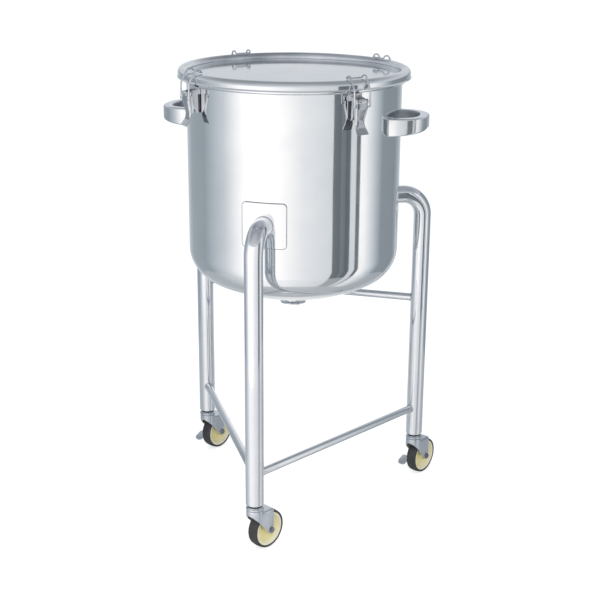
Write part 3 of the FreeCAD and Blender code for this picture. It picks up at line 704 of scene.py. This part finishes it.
def rod_y(form, x, z, r, y0, y1, soft=0.3, n=32):
    """Round bar along Y with softened ends."""
    turn = Matrix.Translation((x, 0, z)) @ Matrix.Rotation(math.radians(-90), 4, "X")
    profile = [(0, y0), (r - soft, y0)] + arc(r - soft, y0 + soft, soft, -90, 0, 3)[1:]
    profile += arc(r - soft, y1 - soft, soft, 0, 90, 3) + [(0, y1)]
    form.lathe(profile, n, closed=False, m=turn)


def xz_plate(form, outline, y0, y1, bevel=0.3, m=None):
    """Plate of an XZ outline between two Y values."""
    turn = Matrix(((1, 0, 0, 0), (0, 0, 1, 0), (0, 1, 0, 0), (0, 0, 0, 1)))
    form.plate(outline, y0, y1, bevel, (m @ turn) if m else turn)


def yz_plate(form, outline, x0, x1, bevel=0.3):
    """Plate of a YZ outline between two X values."""
    turn = Matrix(((0, 0, 1, 0), (1, 0, 0, 0), (0, 1, 0, 0), (0, 0, 0, 1)))
    form.plate(outline, x0, x1, bevel, turn)


def rounded3(points, radii, n=8):
    """3D line through the points with rounded corners."""
    pts = [Vector(p) for p in points]
    out = [pts[0]]
    for i in range(1, len(pts) - 1):
        a, b = (pts[i] - pts[i - 1]).normalized(), (pts[i + 1] - pts[i]).normalized()
        half = a.angle(b) / 2
        r = radii[i - 1]
        run = r * math.tan(half)
        centre = pts[i] + (b - a).normalized() * (r / math.cos(half))
        start = pts[i] - a * run - centre
        turn = a.cross(b).normalized()
        for k in range(n + 1):
            out.append(centre + Matrix.Rotation(2 * half * k / n, 3, turn) @ start)
    return out + [pts[-1]]


def carried(form, path, r, n=16):
    """Round wire along any 3D path, its frame carried along without twist."""
    pts = [Vector(p) for p in path]
    rows = []
    side = None
    for i, p in enumerate(pts):
        along = (pts[min(i + 1, len(pts) - 1)] - pts[max(i - 1, 0)]).normalized()
        if side is None:
            side = along.orthogonal().normalized()
        side = (side - along * side.dot(along)).normalized()
        top = along.cross(side)
        rows.append([p + side * x + top * y for x, y in circle(r, n)])
    form.grid(rows, closed_cols=True)
    form.add(rows[0], [list(range(n))])
    form.add(rows[-1], [list(range(n))[::-1]])


def clip_bracket(name, at):
    """Plate with two ears and the pin; the plate has painted shade behind the lever and painted light above
    it.
    """
    half, high = PLATE_W / 2, CLIP_Z + PLATE_RISE
    low, back = high - PLATE_L, TANK_R + 1.5
    form = Form()
    plate = rounded([(-half, low), (half, low), (half, high), (-half, high)], [3, 3, 2, 2], 5, True)
    yz_plate(form, plate, TANK_R + PLATE_BACK, TANK_R + PLATE_FRONT, 0.3)
    ear = [(back, low), (TANK_R + EAR_FOOT, low)] + arc(CLIP_X, CLIP_Z, BARREL_R, -70, 100, 10)
    ear += [(back, CLIP_Z + 8)]
    for y in EAR_SIDES:
        xz_plate(form, ear, y, y + EAR_T, 0.25)
    rod_y(form, CLIP_X, CLIP_Z, PIN_R, -LEVER_W / 2, LEVER_W / 2)
    bracket = piece(form, "clip_bracket_" + name, "clip_base_" + name, clip_steel, at, 50)

    # Height where the plate's painted shade gives way to its painted light
    level = CLIP_Z - 1
    cut = bmesh.new()
    cut.from_mesh(bracket.data)
    bmesh.ops.bisect_plane(cut, geom=cut.verts[:] + cut.edges[:] + cut.faces[:], dist=1e-6,
                           plane_co=(0, 0, level * MM), plane_no=(0, 0, 1))
    cut.to_mesh(bracket.data)
    cut.free()

    def on_plate(face):
        """Whether a face belongs to the plate and not to the ears."""
        return (at.inverted() @ face.center).x < TANK_R + PLATE_FRONT + 0.2

    # Painted shade below the pivot, painted light above it
    dress_faces(bracket, clip_shade, lambda face: on_plate(face) and face.center.z < level * MM)
    dress_faces(bracket, bracket_painted_light, lambda face: on_plate(face) and face.center.z >= level * MM)


def clip_lever(name, at):
    """Lever with the three parts of its rolled barrel, with painted shade on its inside and a painted
    highlight in the paler steel of the barrel.
    """
    form, inside_start, inside_end = lever_shape()
    plain = len(form.faces)
    form.verts = [v + Vector((CLIP_X, 0, CLIP_Z)) for v in form.verts]
    for y0, y1 in BARREL_PARTS:
        rod_y(form, CLIP_X, CLIP_Z, BARREL_R, y0, y1, 0.5)
    lever = piece(form, "clip_handle_" + name, "clip_lever_" + name, clip_steel, at, 50)
    # Painted shade on the lower inside of the lever
    dress_faces(lever, lever_inside_shade,
                lambda face: inside_start <= face.index < inside_end and face.center.z < (CLIP_Z - 5) * MM)
    # Painted highlight: the barrel gets the paler grip steel
    dress_faces(lever, grip_steel, lambda face: face.index >= plain)


def clip_wire(name, at):
    """Wire loop from the lever's sides over the rim, with its hook inside the rim."""
    end = LEVER_W / 2 - 1.3
    run = [(BAIL_X, -end, BAIL_Z), (BAIL_X, -BAIL_W, BAIL_Z), (CLIP_X + 1.5, -BAIL_W, LID_LIP_Z + 2),
           (HOOK_X + 11.9, -BAIL_W, HOOK_TOP + 1.2), (HOOK_X + 3.9, -BAIL_W, HOOK_TOP + 0.4),
           (HOOK_X, -BAIL_W, HOOK_Z)]
    run += [(x, -y, z) for x, y, z in run[::-1]]
    bends = [2.2, 20, 6, 3.5, 2.2]
    form = Form()
    carried(form, rounded3(run, bends + bends[::-1]), BAIL_R)
    piece(form, "clip_wire_" + name, "clip_bail_" + name, wire_steel, at, 50)


for name, angle in CLIPS.items():
    clip_bracket(name, place(angle))
    clip_lever(name, place(angle))
    clip_wire(name, place(angle))


# Casters

def hexagon(across):
    """Corners of a hexagon from its width across flats."""
    return circle(across / math.sqrt(3), 6)


def fork_head(form, skirt):
    """Raised round head, open below, with its skirt round the nose."""
    n = 72
    edges = []
    for inset, bend in ((0, FORK_BEND), (FORK_T, FORK_BEND - FORK_T)):
        r_out, top = FORK_W - inset, FORK_TOP - inset
        line = [(5.0, top), (9.0, top), (r_out - bend, top)]
        line += arc(r_out - bend, top - bend, bend, 90, 0, 6)[1:]
        rows = [[(x, y, z) for x, y in circle(r, n)] for r, z in line]
        rows.append([(x, y, skirt(x) if x < 0.5 else FORK_PLATE - FORK_SINK) for x, y in circle(r_out, n)])
        form.grid([r[::-1] for r in rows] if inset else rows, closed_cols=True)
        edges.append(rows[-1])
    form.grid(edges, closed_cols=True)


def fork_form():
    """Pressed fork: head, channel behind it and two side plates with the axle's eyes."""
    form = Form()
    half, corner = FORK_W, FORK_W - FORK_BEND
    lean = math.atan2(FORK_FRONT - WHEEL_R, TRAIL + half)
    touch = (TRAIL - EYE_R * math.sin(lean), WHEEL_R - EYE_R * math.cos(lean))
    fall = (touch[1] - FORK_FRONT) / (touch[0] + half)

    def skirt(x):
        """Height of the lower edge of the nose and of the sides."""
        return FORK_FRONT + fall * (x + half)

    fork_head(form, skirt)
    foot, turn_z = FORK_PLATE - 6, FORK_PLATE - FORK_BEND
    inner_bend = FORK_BEND - FORK_T
    channel = [(-half, foot)] + arc(-corner, turn_z, FORK_BEND, 180, 90, 6)
    channel += arc(corner, turn_z, FORK_BEND, 90, 0, 6) + [(half, foot), (half - FORK_T, foot)]
    channel += arc(corner, turn_z, inner_bend, 0, 90, 4)
    channel += arc(-corner, turn_z, inner_bend, 90, 180, 4) + [(-half + FORK_T, foot)]
    yz_plate(form, channel, 1.0, FORK_REAR, 0.4)
    out = math.degrees(math.acos(min(1, (FORK_REAR - TRAIL) / EYE_R)))
    start = math.degrees(math.atan2(touch[1] - WHEEL_R, touch[0] - TRAIL))
    side = [(SIDE_START, skirt(SIDE_START))] + arc(TRAIL, WHEEL_R, EYE_R, start, -out, 16)
    side += [(FORK_REAR, WHEEL_R + 9), (FORK_REAR, FORK_PLATE - 5.5), (SIDE_START, FORK_PLATE - 5.5)]
    for y0, y1 in ((-half, -half + FORK_T), (half - FORK_T, half)):
        xz_plate(form, side, y0, y1, 0.4)
    return form


def wheel_lathe(form, profile, n=96):
    """Profile of (radius, offset along the axle) turned about the wheel's axle."""
    turn = Matrix.Translation((TRAIL, 0, WHEEL_R)) @ Matrix.Rotation(math.radians(-90), 4, "X")
    form.lathe(profile, n, m=turn)


def caster_race(name, at):
    """Fixed stem with its race and plug, the nut below, and near-black painted shade in the gap under the
    leg.
    """
    form = Form()
    outline = [(STEM_R, 80.0), (STEM_R, 87.6), (RACE_R, 87.6), (RACE_R, RACE_TOP), (13.4, 93.2),
               (PLUG_R, PLUG_TOP), (PLUG_R, LEG_LOW - 0.1), (14.0, LEG_LOW - 0.1), (SOCKET_R, LEG_LOW + 1),
               (SOCKET_R, STEM_TOP), (STEM_R, STEM_TOP)]
    form.lathe(rounded(outline, [0, 0, 1.0, 1.8, 0.8, 0.8, 0, 0, 0, 0, 0], 5, True), 72)
    form.lathe([(0, 81.0), (7.8, 81.0), (7.8, 84.2), (0, 84.2)], 32, closed=False)
    race = piece(form, "caster_race_" + name, "caster_stem_" + name, zinc, at, 40)
    # Painted shade in the gap between the race and the leg
    dress_faces(race, gap_shade, lambda face: GAP_SHADE_LOW < face.center.z / MM < LEG_LOW + 0.5)


def tyre_ring(name, at):
    """Crowned rubber tyre with rounded shoulders."""
    inner = WHEEL_R - TYRE_T
    line = [(inner, -9.9), (inner + 0.4, -10.35), (inner + 0.9, -TYRE_HALF), (WHEEL_R - 2.0, -TYRE_HALF),
            (WHEEL_R - 1.5, -10.3), (WHEEL_R - 1.15, -9.9), (WHEEL_R - 0.45, -6.5), (WHEEL_R, 0)]
    line += [(r, -y) for r, y in line[-2::-1]]
    form = Form()
    wheel_lathe(form, line)
    piece(form, "tyre_ring_" + name, "caster_tyre_" + name, rubber, at, 40)


def wheel_centre(name, at):
    """Nylon centre with a thin web, yellower and darker on the recessed web, partly its own tone and partly
    painted shade, and a raised hub.
    """
    outside = WHEEL_R - TYRE_T - 0.05
    ring = outside - 4.0
    half_line = [(outside, 9.4), (outside - 0.6, HUB_HALF), (ring + 0.8, HUB_HALF), (ring, 9.4),
                 (ring - 1.0, 6.2), (ring - 2.2, 4.6), (ring - 4.0, 4.0), (13.5, 4.0), (11.8, 4.5),
                 (10.4, 5.8), (9.6, 8.0), (9.2, 10.6), (8.6, 11.3), (7.8, HUB_END), (AXLE_HOLE_R, HUB_END)]
    form = Form()
    wheel_lathe(form, half_line + [(r, -y) for r, y in half_line[::-1]])
    wheel = piece(form, "wheel_centre_" + name, "caster_hub_" + name, nylon, at, 40)
    axle = at @ Vector((TRAIL, 0, WHEEL_R))
    # The recessed web: yellower nylon with painted shade
    dress_faces(wheel, web_nylon_and_shade, lambda face: 9.7 < (face.center - axle).length / MM < ring - 2.0)


def axle_bolt(name, at):
    """Axle with its bolt head on one side and its nut on the other."""
    form = Form()
    reach = FORK_W + 0.1
    rod_y(form, TRAIL, WHEEL_R, BOLT_R, -reach - 1, reach + 1, 0.3)
    for y0, y1 in ((-reach - 2.2, -reach), (reach, reach + 3.5)):
        xz_plate(form, hexagon(BOLT_HEX), y0, y1, 0.6, Matrix.Translation((TRAIL, 0, WHEEL_R)))
    piece(form, "axle_bolt_" + name, "caster_axle_" + name, bolt_steel, at, 40)


def brake_lever(name, at):
    """Brake pedal: round eye, arm and sloped foot pad."""
    form = Form()
    y, low = FORK_W + 0.4, PEDAL_LOW
    rod_y(form, PEDAL_X, PEDAL_Z, 6.0, y, y + PEDAL_T, 0.3)
    rod_y(form, PEDAL_X, PEDAL_Z, 2.5, y - 2.5, y + 3.0, 0.3)
    fall = math.tan(math.radians(PEDAL_SLOPE))
    corners = [(PEDAL_X - 5, PEDAL_Z + 3.5), (PEDAL_X - 20, low - 11 * fall + 3),
               (PEDAL_X - 21, low - 17 * fall), (PEDAL_X - 8, low - 4 * fall), (PEDAL_X, PEDAL_Z - 6)]
    arm = rounded(corners, [3, 2, 0.5, 3, 3], 5, True)
    xz_plate(form, arm, y, y + PEDAL_T, 0.3)
    tilt = Matrix.Translation((PEDAL_X - 4, y, low)) @ Matrix.Rotation(math.radians(-PEDAL_SLOPE), 4, "Y")
    pad = rounded([(-26, 0), (0, 0), (0, 19), (-26, 19)], [6, 0.5, 5, 9.4], 10, True)
    form.plate(pad, 0, PEDAL_T, 0.4, tilt)
    piece(form, "brake_lever_" + name, "brake_pedal_" + name, zinc, at, 40)


for name in LEGS:
    foot = leg_axis(name)
    at = place(0, foot.x, foot.y, 0, HEADINGS[name])
    caster_race(name, at)
    piece(fork_form(), "caster_yoke_" + name, "caster_fork_" + name, zinc, at, 40)
    tyre_ring(name, at)
    wheel_centre(name, at)
    axle_bolt(name, at)
    if name != "front":
        brake_lever(name, at)


# Camera, fitted to the photograph: angles in degrees, places in metres, focal length and width in pixels
CAMERA_AZIMUTH, CAMERA_YAW, CAMERA_PITCH, CAMERA_ROLL = 15.14, 0.29, 18.18, 0.40
CAMERA_DISTANCE, CAMERA_HEIGHT = 2.28556, 1.16282
FOCAL_PIXELS, PICTURE_PIXELS, SENSOR = 1224.67, 598, 36.0


def fitted_camera():
    """Camera at the photograph's place and angle."""
    angles = (CAMERA_AZIMUTH, CAMERA_YAW, CAMERA_PITCH, CAMERA_ROLL)
    azimuth, yaw, pitch, roll = (math.radians(v) for v in angles)
    centre = around(0, CAMERA_DISTANCE, CAMERA_HEIGHT)
    ahead = Vector((-math.sin(azimuth), math.cos(azimuth), 0))
    right = Vector((math.cos(azimuth), math.sin(azimuth), 0))
    level = ahead * math.cos(yaw) + right * math.sin(yaw)
    side = -ahead * math.sin(yaw) + right * math.cos(yaw)
    look = level * math.cos(pitch) - Vector((0, 0, 1)) * math.sin(pitch)
    top = level * math.sin(pitch) + Vector((0, 0, 1)) * math.cos(pitch)
    x_axis = side * math.cos(roll) + top * math.sin(roll)
    y_axis = -side * math.sin(roll) + top * math.cos(roll)
    data = bpy.data.cameras.new("camera")
    data.sensor_width = SENSOR
    data.lens = FOCAL_PIXELS * SENSOR / PICTURE_PIXELS
    data.clip_end = 60
    cam = bpy.data.objects.new("camera", data)
    cam.matrix_world = Matrix((
        (x_axis.x, y_axis.x, -look.x, centre.x), (x_axis.y, y_axis.y, -look.y, centre.y),
        (x_axis.z, y_axis.z, -look.z, centre.z), (0, 0, 0, 1)))
    bpy.context.scene.collection.objects.link(cam)
    bpy.context.scene.camera = cam


def around(azimuth, distance, z=1.0):
    """Point at an azimuth from the camera's side of the object, degrees to the right."""
    a = math.radians(azimuth + CAMERA_AZIMUTH)
    return AXIS + Vector((distance * math.sin(a), -distance * math.cos(a), z))


# Studio: the brightness of the floor and of the sky, and the strips of the light tent
FLOOR_TONE, FLOOR_GLOW, FLOOR_MIRRORED, FLOOR_SHEEN = 0.78, 0.62, 0.20, 0.6
SKY_LOW, SKY_HIGH = (0.705, 0.733, 0.774), (0.38, 0.40, 0.43)
FRONT_GLOW, FRONT_TURN, FRONT_RISE = (0.20, 0.20, 0.20), -12, 0.6
TENT_R, TENT_H, TENT_STEPS = 0.85, 0.95, 1440
# Each strip of cloth: from one azimuth to another, in degrees to the right of the camera's side, with the
# brightness of the cloth at both of its edges
TENT = [(-180, -130, 1.00, 0.48), (-130, -100, 0.48, 0.44), (-100, -70, 0.44, 0.78), (-70, -44, 0.78, 1.36),
        (-44, -24, 1.36, 1.36), (-24, 8, 1.36, 1.00), (8, 37, 1.00, 0.86), (37, 45, 0.24, 0.20),
        (45, 50, 0.28, 0.24), (50, 55.3, 0.18, 0.20), (55.3, 61.8, 0.85, 0.85), (61.8, 66.7, 0.20, 0.26),
        (66.7, 73, 1.15, 1.10), (73, 98, 1.10, 0.38), (98, 125, 0.38, 0.34), (125, 145, 0.34, 0.60),
        (145, 180, 0.60, 1.00)]


def emptied_material(name):
    """New material without its default shader, its node tree and its output."""
    mat = bpy.data.materials.new(name)
    mat.use_nodes = True
    tree = mat.node_tree
    tree.nodes.clear()
    return mat, tree, tree.nodes.new("ShaderNodeOutputMaterial")


def math_node(tree, operation, second=None):
    """Math node, with its second input set where asked."""
    node = tree.nodes.new("ShaderNodeMath")
    node.operation = operation
    if second is not None:
        node.inputs[1].default_value = second
    return node


def floor_material():
    """Pale paper: bright for the camera, it keeps the shadows, and the steel mirrors it with a sheen."""
    mat, tree, out = emptied_material("studio_floor")
    paper = tree.nodes.new("ShaderNodeBsdfDiffuse")
    paper.inputs["Color"].default_value = (FLOOR_TONE, FLOOR_TONE, FLOOR_TONE, 1)
    glow = tree.nodes.new("ShaderNodeEmission")
    glow.inputs["Color"].default_value = (1, 1, 1, 1)
    path = tree.nodes.new("ShaderNodeLightPath")
    brightest = math_node(tree, "MAXIMUM")
    shares = (("Is Camera Ray", FLOOR_GLOW), ("Is Glossy Ray", FLOOR_MIRRORED))
    for slot, (ray, strength) in enumerate(shares):
        power = math_node(tree, "MULTIPLY", strength)
        tree.links.new(path.outputs[ray], power.inputs[0])
        tree.links.new(power.outputs[0], brightest.inputs[slot])
    tree.links.new(brightest.outputs[0], glow.inputs["Strength"])
    both = tree.nodes.new("ShaderNodeAddShader")
    tree.links.new(paper.outputs[0], both.inputs[0])
    tree.links.new(glow.outputs[0], both.inputs[1])
    sheen = tree.nodes.new("ShaderNodeBsdfGlossy")
    sheen.inputs["Color"].default_value = (0.92, 0.92, 0.92, 1)
    sheen.inputs["Roughness"].default_value = 0.12
    share = math_node(tree, "MULTIPLY", FLOOR_SHEEN)
    tree.links.new(path.outputs["Is Glossy Ray"], share.inputs[0])
    mix = tree.nodes.new("ShaderNodeMixShader")
    tree.links.new(share.outputs[0], mix.inputs[0])
    tree.links.new(both.outputs[0], mix.inputs[1])
    tree.links.new(sheen.outputs[0], mix.inputs[2])
    tree.links.new(mix.outputs[0], out.inputs["Surface"])
    return mat


def floor(size):
    """Level square of paper under the object."""
    mesh = bpy.data.meshes.new("floor")
    half = size / 2
    corners = [(-half, -half, 0), (half, -half, 0), (half, half, 0), (-half, half, 0)]
    mesh.from_pydata(corners, [], [(0, 1, 2, 3)])
    mesh.materials.append(floor_material())
    obj = bpy.data.objects.new("floor", mesh)
    bpy.context.scene.collection.objects.link(obj)


def world():
    """Soft daylight from all round: pale at eye level, calmer overhead, brightest from the front."""
    studio = bpy.data.worlds.new("studio")
    bpy.context.scene.world = studio
    studio.use_nodes = True
    tree = studio.node_tree
    coords = tree.nodes.new("ShaderNodeTexCoord")
    split = tree.nodes.new("ShaderNodeSeparateXYZ")
    tree.links.new(coords.outputs["Generated"], split.inputs[0])
    sky = tint(tree, split.outputs["Z"], SKY_LOW, SKY_HIGH, 0.36, 0.74)
    facing = tree.nodes.new("ShaderNodeVectorMath")
    facing.operation = "DOT_PRODUCT"
    front = math.radians(CAMERA_AZIMUTH + FRONT_TURN)
    level = math.sqrt(1 - FRONT_RISE ** 2)
    facing.inputs[1].default_value = (level * math.sin(front), -level * math.cos(front), FRONT_RISE)
    tree.links.new(coords.outputs["Generated"], facing.inputs[0])
    glow = tint(tree, facing.outputs["Value"], (0, 0, 0), FRONT_GLOW, 0.62, 0.95)
    both = tree.nodes.new("ShaderNodeVectorMath")
    both.operation = "ADD"
    tree.links.new(sky, both.inputs[0])
    tree.links.new(glow, both.inputs[1])
    path = tree.nodes.new("ShaderNodeLightPath")
    seen = tree.nodes.new("ShaderNodeMixRGB")
    seen.inputs["Color2"].default_value = (1, 1, 1, 1)
    tree.links.new(path.outputs["Is Camera Ray"], seen.inputs["Fac"])
    tree.links.new(both.outputs["Vector"], seen.inputs["Color1"])
    tree.links.new(seen.outputs["Color"], tree.nodes["Background"].inputs["Color"])


def cloth():
    """Cloth that shines with the tone of each strip."""
    mat, tree, out = emptied_material("tent_cloth")
    glow = tree.nodes.new("ShaderNodeEmission")
    tone = tree.nodes.new("ShaderNodeAttribute")
    tone.attribute_name = "level"
    tree.links.new(tone.outputs["Color"], glow.inputs["Color"])
    tree.links.new(glow.outputs[0], out.inputs["Surface"])
    return mat


def tent():
    """Round wall of lit and dark cloth that the steel mirrors, cooler in tone where it is darker."""
    verts, faces, tones = [], [], []
    for i in range(TENT_STEPS + 1):
        azimuth = -180 + 360 * i / TENT_STEPS
        start, end, first, last = next(strip for strip in TENT if strip[1] >= azimuth)
        level = first + (last - first) * (azimuth - start) / (end - start)
        cool = min(1.0, max(-0.25, (1.0 - level) / 0.5))
        foot = around(azimuth, TENT_R, 0)
        verts += [(foot.x, foot.y, 0), (foot.x, foot.y, TENT_H)]
        tones += [level * (1 - 0.17 * cool), level * (1 - 0.07 * cool), level, 1] * 2
        if i:
            faces.append((2 * i - 2, 2 * i, 2 * i + 1, 2 * i - 1))
    mesh = bpy.data.meshes.new("light_tent")
    mesh.from_pydata(verts, [], faces)
    layer = mesh.color_attributes.new(name="level", type="FLOAT_COLOR", domain="POINT")
    layer.data.foreach_set("color", tones)
    mesh.materials.append(cloth())
    obj = bpy.data.objects.new("light_tent", mesh)
    bpy.context.scene.collection.objects.link(obj)
    obj.visible_camera = False
    obj.visible_shadow = False


def lamp(name, azimuth, distance, z, size, radiance):
    """Square soft light aimed at the middle of the object, unseen by the camera and in the steel."""
    data = bpy.data.lights.new(name, "AREA")
    data.shape = "RECTANGLE"
    data.size, data.size_y = size, size
    data.energy = radiance * math.pi * size * size
    obj = bpy.data.objects.new(name, data)
    where = around(azimuth, distance, z)
    obj.location = where
    obj.rotation_euler = (Vector((AXIS.x, AXIS.y, 0.5)) - where).to_track_quat("-Z", "Y").to_euler()
    obj.visible_camera = False
    obj.visible_glossy = False
    bpy.context.scene.collection.objects.link(obj)


fitted_camera()
tent()
floor(60)
world()
lamp("front_fill", 38, 2.2, 0.9, 1.2, 3.2)
bpy.context.scene.view_settings.view_transform = "Standard"
